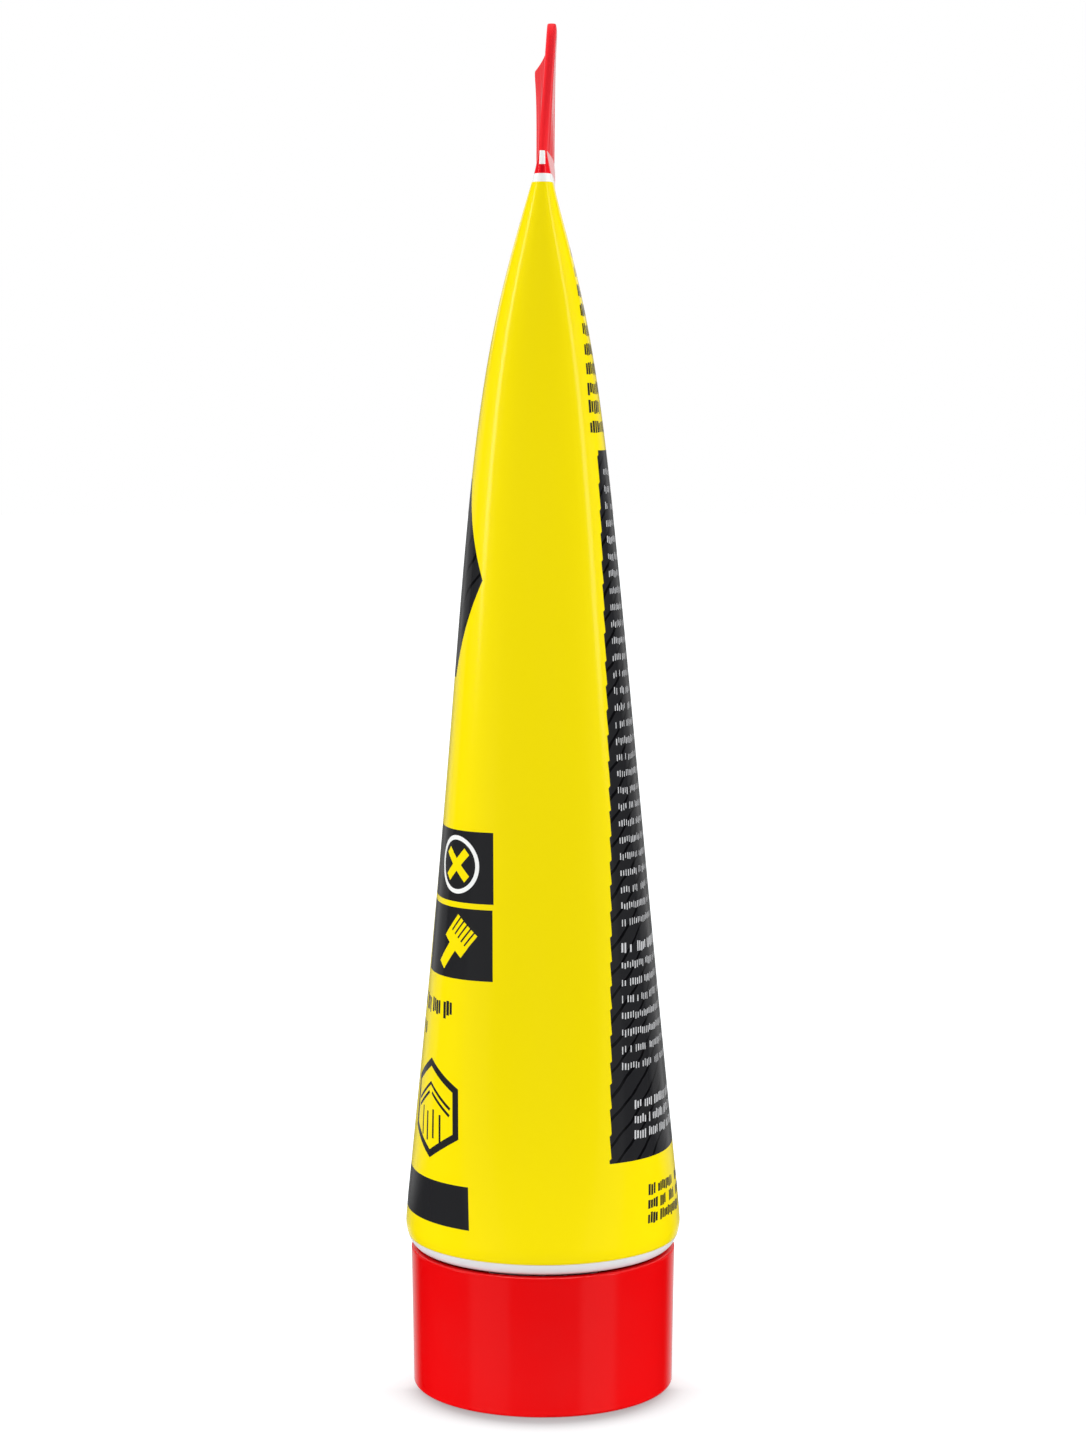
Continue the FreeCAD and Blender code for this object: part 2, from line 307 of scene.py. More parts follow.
@dataclass(frozen=True, kw_only=True)
class RolledFoil(PlainFinish):
    """Aluminium foil, rolled and welded down: fine roll lines and a few soft wrinkles."""

    name: str = "aluminium_foil_rolled"
    colour: str = "D9DADC"
    other_tone: str = "C4C6CA"
    tone_size: float = 0.25
    line_length: float = 12.0
    roughness: float = 0.28
    unevenness: float = 0.2
    relief: float = 0.05
    relief_size: float = 2.6
    relief_twist: float = 0.6
    metallic: float = 1.0

    def patterns(self, tree: Tree, place: Any) -> tuple[Any, Any, Any]:
        """Adds the roll lines, which spread the tones and the roughness, and the wrinkles."""
        along = 1 / (self.line_length * MM)
        drawn_out = {"Vector": place, "Scale": (1 / (self.tone_size * MM), along, along)}
        stretched = add_node(tree, "ShaderNodeMapping", drawn_out)
        rolled = {"Vector": stretched, "Scale": 1.0, "Detail": self.tone_detail}
        creased = {"Vector": place, "Scale": 1 / (self.relief_size * MM), "Detail": self.relief_detail}
        creased["Distortion"] = self.relief_twist
        lines, wrinkles = (add_node(tree, "ShaderNodeTexNoise", noise) for noise in (rolled, creased))
        return lines, wrinkles, lines


@dataclass(frozen=True, kw_only=True)
class SkinnedFoam(PlainFinish):
    """Expanded polyethylene sheet, die cut: matt white with small closed cells under its skin."""

    name: str = "polyethylene_foam_die_cut"
    colour: str = "EFEEE9"
    other_tone: str = "DDDBD3"
    roughness: float = 0.62
    relief: float = 0.05
    relief_size: float = 0.45

    def patterns(self, tree: Tree, place: Any) -> tuple[Any, Any, Any]:
        """Adds the closed cells, which spread everything."""
        spread = {"Vector": place, "Scale": 1 / (self.relief_size * MM)}
        cells = add_node(tree, "ShaderNodeTexVoronoi", spread, feature="SMOOTH_F1")
        return cells, cells, cells


@dataclass(frozen=True, kw_only=True)
class FilledPaste(PlainFinish):
    """Chalk filled adhesive, pumped in: smooth off-white paste with soft folds and fine filler."""

    name: str = "adhesive_paste_chalk_filled"
    colour: str = "E9E3D3"
    other_tone: str = "DDD5C1"
    tone_size: float = 0.4
    tone_detail: float = 1.0
    roughness: float = 0.42
    unevenness: float = 0.16
    relief: float = 0.35
    relief_size: float = 7.0
    relief_twist: float = 1.0

    def patterns(self, tree: Tree, place: Any) -> tuple[Any, Any, Any]:
        """Adds the filler, which spreads the tones and the roughness, and the folds."""
        filler, folds, _ = super().patterns(tree, place)
        return filler, folds, filler


# ---------------- print on the film
@dataclass(frozen=True)
class Bar:
    """A straight-sided field of ink on the flat film.

    Attributes:
        across: Place of its middle around the tube, from the near fold.
        up: Height of its middle.
        width: Its extent across, before it is turned.
        height: Its extent up, before it is turned.
        turn: How far it is turned anticlockwise, in degrees.
    """

    across: float
    up: float
    width: float
    height: float
    turn: float = 0.0

    def placed(self, across: float, up: float, turn: float) -> Bar:
        """Carries a bar of a motif drawn about (0, 0) to the motif's own place and turn."""
        cosine = math.cos(math.radians(turn))
        sine = math.sin(math.radians(turn))
        moved_across = across + self.across * cosine - self.up * sine
        moved_up = up + self.across * sine + self.up * cosine
        return Bar(moved_across, moved_up, self.width, self.height, self.turn + turn)

    def inputs(self) -> dict[str, tuple[float, float, float]]:
        """The bar as inputs of its node group."""
        return {
            "Location": (self.across, self.up, 0.0),
            "Rotation": (0.0, 0.0, math.radians(self.turn)),
            "Scale": (self.width / 2, self.height / 2, 1.0),
        }


@dataclass(frozen=True)
class WordRows:
    """Rows of plain upright ticks that stand for small print. No letter is drawn.

    Attributes:
        left: Left edge of the top row, around the tube from the near fold.
        right: Furthest right edge.
        top: Height of the top row's middle.
        pitch: Distance from row to row.
        count: Number of rows.
        tick: Distance from tick to tick.
        body: Half of a tick's height, as a share of the pitch.
        weight: Half of a tick's width, as a share of the distance from tick to tick.
        ragged: How much shorter than the longest row the shortest may be.
        lean: How far the left edge moves for each millimetre up.
    """

    left: float
    right: float
    top: float
    pitch: float
    count: int
    tick: float
    body: float = 0.19
    weight: float = 0.27
    ragged: float = 8.0
    lean: float = 0.0

    def inputs(self) -> dict[str, float]:
        """The block as inputs of its node group, with its height as the seed of its chances."""
        sizes = {name.capitalize(): float(size) for name, size in asdict(self).items()}
        return sizes | {"Seed": self.top}


@dataclass(frozen=True)
class Artwork:
    """Where the sleeve's print lies: plain fields, simple shapes and rows of ticks.

    Attributes:
        quarter: A quarter of the girth.
        cut: Height of the sleeve's cut end.
        crimp: Height of the line where the fin starts.
        top: Height of the fin's top edge.
        hexagon: Place across and up, and distance from the middle to a side.
        ring: Place across and up, and radius.
        panel_lean: Height from which the panel's edge leans, and by how much.
        notch: Depth of the notches in the panel's edge.
        banner: Height of the banner's tip, and half of the banner's height.
        banner_slopes: How fast its end draws back above the tip, and below.
    """

    quarter: float
    cut: float
    crimp: float
    top: float
    band_low: float = 171.47
    band_high: float = 172.55
    stroke_pitch: float = 2.5
    stroke_width: float = 0.17
    stroke_wobble: float = 0.5
    hexagon: tuple[float, float, float] = (-18.7, 43.1, 5.75)
    ring: tuple[float, float, float] = (-13.05, 78.65, 3.78)
    ring_line: float = 0.62
    line: float = 1.05
    fine_line: float = 0.46
    panel_lean: tuple[float, float] = (85.0, 0.019)
    notch: float = 0.3
    banner: tuple[float, float] = (118.3, 13.8)
    banner_end: float = -8.35
    banner_slopes: tuple[float, float] = (0.36, -0.56)

    def panels(self) -> list[Bar]:
        """Large black field on the rear side, which carries pale rows and dark strokes."""
        return [Bar(self.quarter, 86.15, 2 * (self.quarter - 9.8), 99.7)]

    def hexagon_lines(self) -> list[Bar]:
        """Outline of a hexagon with a point at its top, and a pitched roof over boards inside it."""
        across, up, apothem = self.hexagon
        side = Bar(apothem, 0.0, self.line, 2 * apothem * math.tan(math.radians(30)) + self.line * 0.55)
        lines = [side.placed(0.0, 0.0, 60.0 * i) for i in range(6)]
        for end in (-1, 1):
            lines.append(Bar(end * 2.3, 2.1, 5.8, self.fine_line, end * -33.0))
            lines.append(Bar(end * 2.5, 0.9, 5.0, self.fine_line, end * -33.0))
        lines += [Bar(1.7 * (i - 1.5), -2.2 - 0.5 * (i % 2), self.fine_line, 4.2) for i in range(4)]
        return [line.placed(across, up, 0.0) for line in lines]

    def black_fields(self) -> list[Bar]:
        """Two picture tiles, the hexagon's lines and the bar at the foot of the front side."""
        tiles = [Bar(-14.95, 78.45, 16.2, 10.1), Bar(-15.1, 67.55, 16.2, 10.1)]
        foot = [Bar(-self.quarter, 29.65, 2 * (self.quarter - 10.9), 6.3)]
        return tiles + self.hexagon_lines() + foot

    def yellow_marks(self) -> list[Bar]:
        """Crossed planks in the ring on the upper tile, and a paint brush on the lower one."""
        across, up, _ = self.ring
        planks = [Bar(0.0, 0.0, 5.6, 1.25, turn).placed(across, up, 0.0) for turn in (44.0, -44.0)]
        brush = [Bar(0.0, -3.1, 1.6, 3.9), Bar(0.0, -0.35, 4.45, 1.75)]
        brush += [Bar(0.77 * (i - 2.5), 1.8, 0.52, 2.6) for i in range(6)]
        return planks + [piece.placed(-12.94, 67.92, -41.0) for piece in brush]

    def mark_and_painted_shade(self) -> list[tuple[Ink, Bar]]:
        """A printed white field on the near fold, just under the crimp, over a deep red bar of painted
        shade.
        """
        return [(Ink.SHADE_RED, Bar(0.0, 173.15, 0.4, 1.15)), (Ink.WHITE, Bar(0.0, 174.6, 0.9, 1.76))]

    def black_rows(self) -> list[WordRows]:
        """Rows of dark ticks on yellow."""
        return [
            WordRows(5.9, 55.0, 162.6, 2.6, 10, 0.6, body=0.29, weight=0.34, lean=-0.055),
            WordRows(16.7, 44.0, 31.5, 2.1, 3, 0.62, body=0.33, weight=0.36, ragged=5.0),
            WordRows(-48.0, -13.5, 57.9, 3.9, 1, 0.72, body=0.27, weight=0.36, ragged=0.3),
            WordRows(-44.0, -22.0, 54.0, 3.4, 1, 0.6, body=0.24, weight=0.34, ragged=0.3),
        ]

    def white_rows(self) -> list[WordRows]:
        """Rows of pale ticks on the black panel."""
        return [
            WordRows(10.0, 51.0, 133.0, 2.31, 28, 0.5, body=0.18, weight=0.14, lean=-0.022),
            WordRows(11.3, 28.0, 66.9, 2.4, 1, 0.54, body=0.27, weight=0.25, ragged=2.0),
            WordRows(11.3, 51.0, 64.5, 2.4, 7, 0.5, body=0.19, weight=0.15),
            WordRows(13.6, 44.0, 44.4, 2.2, 3, 0.52, body=0.26, weight=0.22, ragged=4.0),
        ]


@dataclass(frozen=True, kw_only=True)
class PrintedFilm(Finish):
    """Coextruded polyethylene film, printed in flat inks under a gloss varnish.

    Attributes:
        artwork: The print.
        uv_map: Map of the flat film, in millimetres.
        word_gaps: Share of the ticks that are left out, as gaps between words.
        tick_height: Spread and least value of a tick's height, as shares of its body.
        tick_middle: The same for its middle, as shares of the pitch.
        tick_width: How much wider the widest ticks are.
        pull_size: Width and height of the film's soft pulls.
        ridge_size: The same for the ridges on the fin.
        dull_size: The same for the fin's dull patches.
        dull_from: Range of that pattern over which dull turns to glossy.
        dull_roughness: Roughness where the fin is dull, and where it is glossy.
        shade_streaks: Gain and offset that turn the ridges into the mask of the deeper red, painted
            shade.
        highlight_streaks: The same for the paler red, a painted highlight.
    """

    artwork: Artwork
    uv_map: str
    name: str = "polyethylene_film_printed_and_varnished"
    roughness: float = 0.15
    unevenness: float = 0.08
    specular: float = 0.25
    word_gaps: float = 0.13
    tick_height: tuple[float, float] = (0.36, 0.82)
    tick_middle: tuple[float, float] = (0.12, 0.44)
    tick_width: float = 0.1
    pull_size: tuple[float, float] = (5.0, 34.0)
    pull_height: float = 0.05
    ridge_size: tuple[float, float] = (1.6, 24.0)
    ridge_height: float = 0.008
    dull_size: tuple[float, float] = (15.0, 34.0)
    dull_from: tuple[float, float] = (0.48, 0.58)
    dull_roughness: tuple[float, float] = (0.8, 0.2)
    shade_streaks: tuple[float, float] = (5.0, -2.7)
    highlight_streaks: tuple[float, float] = (-4.5, 1.95)

    def bar_group(self) -> Tree:
        """Node group that is 1 inside a bar, whose half width and half height are its scale."""
        names = ("Vector", "Location", "Rotation", "Scale")
        group, given = new_group("straight_sided_field", "NodeSocketVector", names)
        placing = {name: given[name] for name in names}
        local = add_node(group, "ShaderNodeMapping", placing, vector_type="TEXTURE")
        axes = add_node(group, "ShaderNodeSeparateXYZ", {0: local}).outputs
        mask = ("MULTIPLY", ("COMPARE", axes["X"], 0.0, 1.0), ("COMPARE", axes["Y"], 0.0, 1.0))
        add_node(group, "NodeGroupOutput", {"Mask": mask})
        return group

    def rows_group(self) -> Tree:
        """Node group that is 1 on the ticks of a block of rows."""
        sizes = tuple(size.name.capitalize() for size in fields(WordRows))
        names = ("Across", "Up", "Seed") + sizes
        group, given = new_group("rows_of_ticks", "NodeSocketFloat", names)
        below_top = ("SUBTRACT", given["Top"], given["Up"])
        row_place = ("ADD", ("DIVIDE", below_top, given["Pitch"]), 0.5)
        row = add_node(group, "ShaderNodeMath", {0: row_place}, operation="FLOOR")
        edge = {0: below_top, 1: given["Lean"], 2: ("SUBTRACT", given["Across"], given["Left"])}
        from_left = add_node(group, "ShaderNodeMath", edge, operation="MULTIPLY_ADD")
        tick_place = ("DIVIDE", from_left, given["Tick"])

        # each tick, each word gap and each row draws its own chances
        tick = ("FLOOR", tick_place)
        seed = given["Seed"]
        chances = []
        for cell in ((tick, row, seed), (tick, row, ("ADD", seed, 0.5)), (row, seed, 7.5)):
            place = add_node(group, "ShaderNodeCombineXYZ", dict(enumerate(cell)))
            chances.append(add_node(group, "ShaderNodeTexWhiteNoise", {"Vector": place}))
        tick_chance, gap, short = chances
        shape = add_node(group, "ShaderNodeSeparateColor", {0: tick_chance.outputs["Color"]}).outputs

        middle = ("MULTIPLY_ADD", shape[1], *self.tick_middle)
        half = ("MULTIPLY", given["Body"], ("MULTIPLY_ADD", shape[0], *self.tick_height))
        half_width = ("MULTIPLY_ADD", shape[2], self.tick_width, given["Weight"])
        row_end = ("SUBTRACT", given["Right"], ("MULTIPLY", short, given["Ragged"]))
        tests = [
            ("COMPARE", ("FRACT", row_place), middle, half),
            ("COMPARE", ("FRACT", tick_place), 0.45, half_width),
            ("GREATER_THAN", ("ADD", gap, ("LESS_THAN", tick_place, 1.0)), self.word_gaps),
            ("GREATER_THAN", row, -0.5),
            ("LESS_THAN", row, ("SUBTRACT", given["Count"], 0.5)),
            ("GREATER_THAN", from_left, 0.0),
            ("LESS_THAN", given["Across"], row_end),
        ]
        add_node(group, "NodeGroupOutput", {"Mask": self.chain("MULTIPLY", tests)})
        return group

    def chain(self, operation: str, masks: list[Any]) -> Any:
        """Joins masks: by MAXIMUM where any of them is 1, by MULTIPLY where all of them are."""
        return reduce(lambda first, second: (operation, first, second), masks)

    def lay(self, tree: Tree, ground: Any, ink: Any, mask: Any) -> bpy.types.NodeSocket:
        """Lays an ink, or a colour made by nodes, over the ground where the mask is 1."""
        colour = linear(ink.value) if isinstance(ink, Ink) else ink
        inputs = {"Factor": mask, "A": ground, "B": colour}
        return add_node(tree, "ShaderNodeMix", inputs, data_type="RGBA").outputs["Result"]

    def stamp(self, tree: Tree, group: Tree, shapes: list[Bar] | list[WordRows], **place: Any) -> Any:
        """Adds the mask of several bars or blocks of rows.

        Args:
            tree: The material's node tree.
            group: The node group for one of them.
            shapes: The bars or the blocks.
            place: Place on the film, by the names of the group's own inputs.

        Returns:
            The mask.
        """
        inputs = [place | shape.inputs() for shape in shapes]
        masks = [add_node(tree, "ShaderNodeGroup", each, node_tree=group) for each in inputs]
        return self.chain("MAXIMUM", masks)

    def print_colour(self, tree: Tree, around: Any, up: Any, ridges: Any) -> bpy.types.NodeSocket:
        """Lays the inks one over another.

        Args:
            tree: The material's node tree.
            around: Place around the tube, from the near fold.
            up: Height on the film.
            ridges: Ridges that the weld draws the film into; they also spread the fin's painted streaks.

        Returns:
            The film's colour.
        """
        art = self.artwork
        bar_group = self.bar_group()
        rows_group = self.rows_group()
        # the front side's print is the same either side of its middle
        folded = {0: ("ABSOLUTE", ("ADD", around, art.quarter)), 1: art.quarter}
        across = add_node(tree, "ShaderNodeMath", folded, operation="SUBTRACT")
        point = add_node(tree, "ShaderNodeCombineXYZ", {0: across, 1: up})

        # grounds: bare film inside, yellow, a white band, red on the fin, bare film on its top edge
        # the fin's red carries painted streaks: a deeper red for shade and a paler red for highlight
        red = linear(Ink.RED.value)
        for ink, streaks in ((Ink.SHADE_RED, self.shade_streaks), (Ink.HIGHLIGHT_RED, self.highlight_streaks)):
            red = self.lay(tree, red, ink, ("MULTIPLY_ADD", ridges, *streaks))
        colour = linear(Ink.BARE.value)
        heights = (art.cut, art.band_low, art.band_high, art.top)
        for height, ink in zip(heights, (Ink.YELLOW, Ink.WHITE, red, Ink.BARE)):
            colour = self.lay(tree, colour, ink, ("GREATER_THAN", up, height))

        # black with darker strokes, which rise at 45 degrees and notch the panel's edge
        wobble = add_node(tree, "ShaderNodeTexNoise", {"Vector": point, "Scale": 0.22, "Detail": 1.0})
        slant = ("MULTIPLY", ("SUBTRACT", up, across), math.sqrt(0.5) / art.stroke_pitch)
        stroke_place = ("MULTIPLY_ADD", wobble, art.stroke_wobble, slant)
        stroke = add_node(tree, "ShaderNodeMath", {0: stroke_place}, operation="FRACT")
        inside_stroke = ("COMPARE", stroke, 0.5, art.stroke_width / 2)
        stroked = self.lay(tree, linear(Ink.BLACK.value), Ink.STROKE, inside_stroke)
        lean_from, lean = art.panel_lean
        leaning = ("MULTIPLY_ADD", ("MAXIMUM", ("SUBTRACT", up, lean_from), 0.0), lean, across)
        notched = ("MULTIPLY_ADD", stroke, art.notch, leaning)
        toothed = add_node(tree, "ShaderNodeCombineXYZ", {0: notched, 1: up})
        panel = self.stamp(tree, bar_group, art.panels(), Vector=toothed)

        # banner with a pointed end
        tip, half_height = art.banner
        sides = [("MULTIPLY", ("SUBTRACT", up, tip), slope) for slope in art.banner_slopes]
        before_end = ("LESS_THAN", ("ADD", across, self.chain("MAXIMUM", sides)), art.banner_end)
        banner = ("MULTIPLY", before_end, ("COMPARE", up, tip, half_height))
        colour = self.lay(tree, colour, stroked, self.chain("MAXIMUM", [panel, banner]))

        dark = self.stamp(tree, bar_group, art.black_fields(), Vector=point)
        dark_rows = self.stamp(tree, rows_group, art.black_rows(), Across=around, Up=up)
        colour = self.lay(tree, colour, Ink.BLACK, self.chain("MAXIMUM", [dark, dark_rows]))
        bright = self.stamp(tree, bar_group, art.yellow_marks(), Vector=point)
        colour = self.lay(tree, colour, Ink.YELLOW, bright)

        ring_across, ring_up, ring_radius = art.ring
        centre = (ring_across, ring_up, 0.0)
        away = add_node(tree, "ShaderNodeVectorMath", {0: point, 1: centre}, operation="DISTANCE")
        ring = ("COMPARE", away.outputs["Value"], ring_radius, art.ring_line / 2)
        colour = self.lay(tree, colour, Ink.WHITE, ring)
        pale_rows = self.stamp(tree, rows_group, art.white_rows(), Across=around, Up=up)
        colour = self.lay(tree, colour, Ink.PALE, pale_rows)

        # lays the deep red bar of painted shade, then the printed white field over it
        for ink, bar in art.mark_and_painted_shade():
            colour = self.lay(tree, colour, ink, self.stamp(tree, bar_group, [bar], Vector=point))
        return colour

    def surface(self, tree: Tree) -> Inputs:
        """Adds the finish's nodes, all placed by the film's flat coordinates, in millimetres."""
        flat = add_node(tree, "ShaderNodeUVMap", uv_map=self.uv_map)
        axes = add_node(tree, "ShaderNodeSeparateXYZ", {0: flat}).outputs
        around, up = axes["X"], axes["Y"]
        # relief: soft pulls along the film, and close ridges on the fin where the weld drew it
        noises = []
        for wide, tall in (self.pull_size, self.ridge_size, self.dull_size):
            stretch = {"Vector": flat, "Scale": (1 / wide, 1 / tall, 1.0)}
            noise = {"Vector": add_node(tree, "ShaderNodeMapping", stretch), "Scale": 1.0, "Detail": 1.0}
            noises.append(add_node(tree, "ShaderNodeTexNoise", noise))
        pulls, ridges, dulls = noises
        welded = ("GREATER_THAN", up, self.artwork.crimp)
        normal = None
        weld_ridges = ("MULTIPLY", ridges, welded)
        for bumps, tall in ((pulls, self.pull_height), (weld_ridges, self.ridge_height)):
            relief = {"Height": bumps, "Distance": tall * MM} | ({"Normal": normal} if normal else {})
            normal = add_node(tree, "ShaderNodeBump", relief)
        # the weld's hot jaws leave the varnish dull, but for a few glossy pulls
        varnish = ("MULTIPLY_ADD", pulls, self.unevenness, self.roughness - self.unevenness / 2)
        limits = zip(("From Min", "From Max", "To Min", "To Max"), self.dull_from + self.dull_roughness)
        fin = add_node(tree, "ShaderNodeMapRange", {"Value": dulls} | dict(limits))
        sheen = add_node(tree, "ShaderNodeMix", {"Factor": welded, "A": varnish, "B": fin})
        colour = self.print_colour(tree, around, up, ridges)
        surface = {"Base Color": colour, "Normal": normal, "Roughness": sheen}
        return surface | {"Specular IOR Level": self.specular}


# ---------------- the sleeve
@dataclass(frozen=True)
class FilmRow:
    """One row of the film: where it lies on the flat sheet, and where it ends up.

    Attributes:
        along: Place on the flat film.
        height: Height in the finished tube.
        inset: Distance inside the tube's outer face.
        pinched: True where both sides meet in the middle.
    """

    along: float
    height: float
    inset: float
    pinched: bool = False


@dataclass(frozen=True)
class PressedForm:
    """Shape of a round sleeve that is pressed flat towards its upper end, with a constant girth."""

    radius: float
    cut: float
    top: float
    fin_height: float = 16.6
    fin_thickness: float = 1.2
    round_length: float = 2.85
    taper_ease: float = 1.24
    bulge: float = 6.7
    bulge_reach: float = 20.4
    bulge_ease: float = 1.29
    fold_blunt: float = 1.15
    fold_blunt_ease: float = 12.0
    fold_blunt_half: float = 5.0
    edge_depth: float = 2.2
    edge_height: float = 3.8
    edge_top: float = 2.048
    wave_mid: float = 1.14
    wave_bows: float = 1.12
    wave_fade: float = 3.9
    wave_top: float = 1.12
    wave_top_rise: float = 2.1
    wave_top_turn: float = 4.05
    wave_top_hold: float = 4.0
    lean: float = 0.34
    lean_height: float = 135.7
    lean_spread: float = 38.9
    corner: float = 1.5
    steps: int = 40
    fine: int = 8
    crowding: float = 1.6

    @property
    def crimp(self) -> float:
        """Height of the line where the fin starts."""
        return self.top - self.fin_height

    @property
    def quarter(self) -> float:
        """A quarter of the girth."""
        return math.pi * self.radius / 2

    def half_thickness(self, height: float) -> float:
        """Half of the tube's X extent at a height."""
        below = self.crimp - height
        if below <= 0:
            return self.fin_thickness / 2
        share = min(below / (self.crimp - self.cut - self.round_length), 1.0)
        taper = (self.radius - self.fin_thickness / 2 - self.bulge) * share**self.taper_ease
        swell = self.bulge * (1 - math.exp(-((below / self.bulge_reach) ** self.bulge_ease)))
        return min(self.fin_thickness / 2 + taper + swell, self.radius)

    def edge_rounding(self, height: float) -> float:
        """Radius lost to the rounding of the tube's lower edge at a height."""
        depth = max(self.cut + self.edge_top - height, 0.0) / self.edge_height
        return self.edge_depth * (1 - math.sqrt(1 - depth * depth))

    def wave(self, y: np.ndarray, height: float) -> np.ndarray:
        """X offset of the tube's middle surface, which bows the crimp, the fin and the tube."""
        travelled = np.maximum((y / self.quarter + 1) / 2, 0.0)
        risen = min(max((height - self.crimp) / self.fin_height, 0.0), 1.0)
        along = risen ** (1 + self.wave_top_hold * travelled)
        crimp = self.wave_mid * np.sin(self.wave_bows * math.pi * travelled)
        top = self.wave_top + self.wave_top_rise * travelled - self.wave_top_turn * travelled**2
        depth = max(self.crimp - height, 0.0) / self.wave_fade
        wavy = ((1 - along) * crimp + along * top) * math.exp(-depth * depth)
        return wavy - self.lean * math.exp(-(((height - self.lean_height) / self.lean_spread) ** 2))

    def quarter_section(self, half: float) -> tuple[np.ndarray, np.ndarray, np.ndarray]:
        """Follows the wall from the near fold to the flat side.

        Args:
            half: Half thickness that the section has to reach.

        Returns:
            X, Y and the angle turned, at points that crowd towards the fold.
        """
        share = np.linspace(0.0, 1.0, self.steps * self.fine + 1) ** self.crowding
        middle = (share[1:] + share[:-1]) / 2
        length = np.diff(share) * self.quarter
        blunt_low = 1 - (half / self.radius) ** self.fold_blunt_ease
        blunt_high = 1 - math.exp(-((half / self.fold_blunt_half) ** 2))
        bluntness = 1 + self.fold_blunt * blunt_low * blunt_high
        round_end = 0.01
        sharp_end = 400.0
        for _ in range(40):
            sharpness = math.sqrt(round_end * sharp_end)
            full = math.tanh(sharpness**bluntness)
            angle = math.pi / 2 * np.tanh((sharpness * middle) ** bluntness) / full
            if (np.cos(angle) * length).sum() > half:
                round_end = sharpness
            else:
                sharp_end = sharpness
        x = np.concatenate(([0.0], np.cumsum(np.cos(angle) * length)))[:: self.fine]
        y = np.concatenate(([0.0], np.cumsum(np.sin(angle) * length)))[:: self.fine]
        turned = math.pi / 2 * np.tanh((sharpness * share) ** bluntness) / full
        return x, y - y[-1], turned[:: self.fine]

    def all_round(self, near: np.ndarray, far: np.ndarray, sign: int) -> np.ndarray:
        """Carries a quarter on to the far fold, and the half to the other side with its sign."""
        half = np.concatenate((near, far[-2::-1]))
        return np.concatenate((sign * half[:0:-1], half))

    def flat_places(self) -> np.ndarray:
        """Places around the tube of a row's points, from far fold to far fold."""
        share = np.linspace(0.0, 1.0, self.steps + 1) ** self.crowding * self.quarter
        return self.all_round(share, 2 * self.quarter - share, -1)

    def row_points(self, row: FilmRow) -> np.ndarray:
        """Places one row of the film on the finished tube.

        Args:
            row: The row.

        Returns:
            Points in millimetres, in the order of flat_places.
        """
        x, y, angle = self.quarter_section(self.half_thickness(row.height))
        shrink = row.inset + self.edge_rounding(row.height)
        x = np.maximum(x - shrink * np.sin(angle), 0.0)
        y = np.maximum.accumulate(y + shrink * np.cos(angle))
        if row.pinched:
            x = x * 0.0
        above = row.height - (self.top - self.corner)
        if above > 0:
            lost = self.corner - math.sqrt(max(self.corner**2 - above**2, 0.0))
            y = y * (1 + lost / y[0])
        all_x = self.all_round(x, x, -1)
        all_y = self.all_round(y, -y, 1)
        heights = np.full_like(all_x, row.height)
        return np.stack((all_x + self.wave(all_y, row.height), all_y, heights), axis=1)


